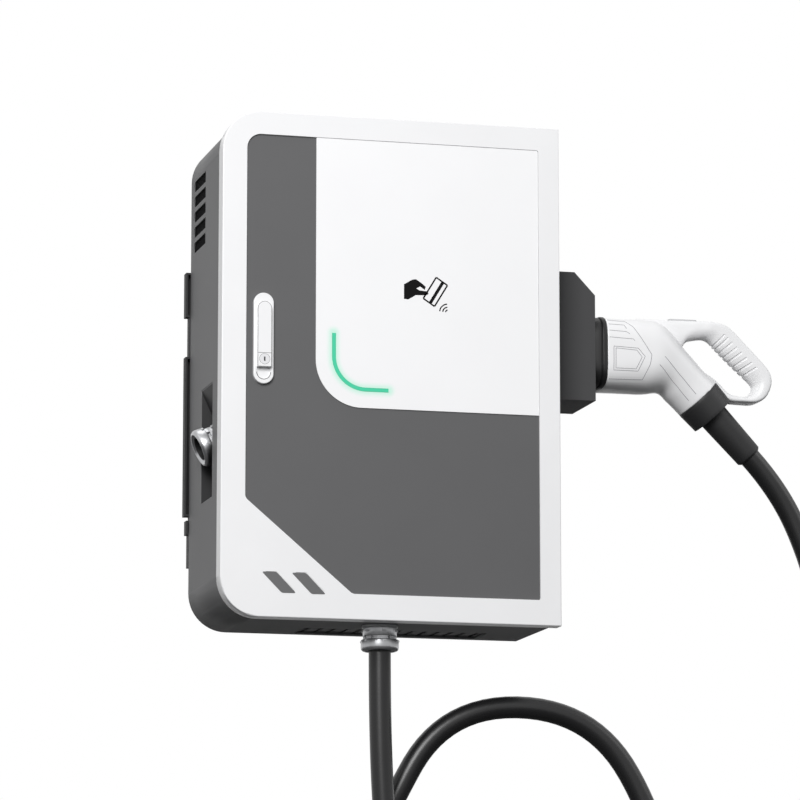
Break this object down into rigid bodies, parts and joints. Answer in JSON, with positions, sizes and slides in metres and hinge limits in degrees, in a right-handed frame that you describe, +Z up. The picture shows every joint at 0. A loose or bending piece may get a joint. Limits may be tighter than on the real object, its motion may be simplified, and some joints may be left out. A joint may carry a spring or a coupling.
{
  "type": "ev wallbox",
  "caption": "Wall-hung charging box for electric cars: hinged door with light strip and swing handle, steel housing, side holster with charging gun, and a looped cable.",
  "frame": {"origin": "centre of the four wall bolts, on the plane of the wall", "axes": "+X to the right seen from the front, +Y back into the wall, +Z up"},
  "size_m": [0.9659, 0.2443, 1.4571],
  "materials": {
    "bracket_steel": "satin",
    "housing_paint": "satin",
    "zinc_steel": "satin",
    "grille_black": "matte",
    "filter_felt": "matte",
    "module_steel": "satin",
    "black_plastic": "matte",
    "device_grey": "matte",
    "device_dark": "matte",
    "fuse_ceramic": "satin",
    "copper": "satin",
    "brass": "satin",
    "terminal_grey": "matte",
    "board_green": "satin",
    "gland_nickel": "satin",
    "seal_rubber": "matte",
    "cable_rubber": "satin",
    "lead_orange": "satin",
    "gun_white": "satin",
    "gun_grey": "matte",
    "contact_silver": "polished",
    "holster_black": "matte",
    "hinge_steel": "satin",
    "pin_steel": "polished",
    "door_white": "satin",
    "panel_grey": "satin",
    "panel_white": "gloss",
    "light_green": "gloss",
    "inlay_grey": "satin",
    "handle_white": "satin",
    "lock_chrome": "polished"
  },
  "bodies": {
    "cabinet": {"wall_bracket": "bracket_steel", "rear_housing": "housing_paint", "hanging_rails": "zinc_steel", "bottom_grille": "grille_black", "vent_filters": "filter_felt", "power_module": "module_steel", "fan_frames": "black_plastic", "chassis_plate": "zinc_steel", "chassis_pillars": "zinc_steel", "din_rail": "zinc_steel", "aux_supply": "module_steel", "control_breaker": "device_grey", "surge_protector": "device_grey", "insulation_monitor": "device_grey", "energy_meter": "device_grey", "main_breaker": "device_dark", "ac_contactor": "device_dark", "dc_contactors": "device_dark", "dc_fuses": "fuse_ceramic", "dc_busbars": "copper", "terminal_block": "terminal_grey", "earth_bar": "brass", "control_board": "board_green", "gland_bodies": "gland_nickel", "gland_nuts": "gland_nickel", "gland_locknuts": "gland_nickel", "gland_seals": "seal_rubber", "cable_tail": "cable_rubber", "output_leads": "lead_orange", "charging_cable": "cable_rubber", "cable_boot": "seal_rubber", "gun_collar_nut": "black_plastic", "gun_shell_front": "gun_white", "gun_shell_rear": "gun_white", "gun_nose": "black_plastic", "gun_contacts": "contact_silver", "holster_block": "holster_black", "housing_hinges": "hinge_steel", "hinge_pins": "pin_steel"},
    "door": {"door_frame": "door_white", "grey_panel": "panel_grey", "white_panel": "panel_white", "light_guide": "light_green", "light_board": "board_green", "slanted_inlays": "inlay_grey", "card_reader": "board_green", "door_gasket": "seal_rubber", "door_hinges": "hinge_steel", "handle_base": "handle_white", "handle_clamp": "black_plastic"},
    "handle_hub": {"handle_spindle": "pin_steel", "lever_pin": "pin_steel", "latch_cam": "zinc_steel"},
    "lever": {"handle_lever": "handle_white"},
    "lock": {"lock_barrel": "lock_chrome"},
    "main_toggle": {"main_breaker_toggle": "black_plastic"},
    "control_toggle": {"control_breaker_toggle": "black_plastic"},
    "release_button": {"gun_button": "gun_grey"},
    "left_fan": {"fan_rotor_left": "device_dark"},
    "right_fan": {"fan_rotor_right": "device_dark"}
  },
  "joints": [
    {"name": "door_hinge", "type": "hinge", "parent": "cabinet", "child": "door", "pos_m": [0.242, -0.209, 0], "axis": [0, 0, 1], "range_deg": [0, 120]},
    {"name": "handle_turn", "type": "hinge", "parent": "door", "child": "handle_hub", "pos_m": [-0.182, -0.235, 0.1173], "axis": [0, -1, 0], "range_deg": [0, 90]},
    {"name": "lever_lift", "type": "hinge", "parent": "handle_hub", "child": "lever", "pos_m": [-0.182, -0.2406, 0.1208], "axis": [-1, 0, 0], "range_deg": [0, 35]},
    {"name": "lock_turn", "type": "hinge", "parent": "lever", "child": "lock", "pos_m": [-0.182, -0.2413, 0.047], "axis": [0, -1, 0], "range_deg": [0, 90]},
    {"name": "main_switch", "type": "hinge", "parent": "cabinet", "child": "main_toggle", "pos_m": [-0.091, -0.174, 0.105], "axis": [1, 0, 0], "range_deg": [0, 50]},
    {"name": "control_switch", "type": "hinge", "parent": "cabinet", "child": "control_toggle", "pos_m": [-0.064, -0.1695, 0.27], "axis": [1, 0, 0], "range_deg": [0, 50]},
    {"name": "release_press", "type": "slide", "parent": "cabinet", "child": "release_button", "axis": [0, 0, -1], "range_m": [0, 0.0025], "stiffness_N_per_m": 800, "springref_m": -0.001},
    {"name": "left_fan_spin", "type": "hinge", "parent": "cabinet", "child": "left_fan", "pos_m": [-0.034, -0.059, -0.2], "axis": [0, 0, 1], "continuous": true},
    {"name": "right_fan_spin", "type": "hinge", "parent": "cabinet", "child": "right_fan", "pos_m": [0.116, -0.059, -0.2], "axis": [0, 0, 1], "continuous": true}
  ]
}
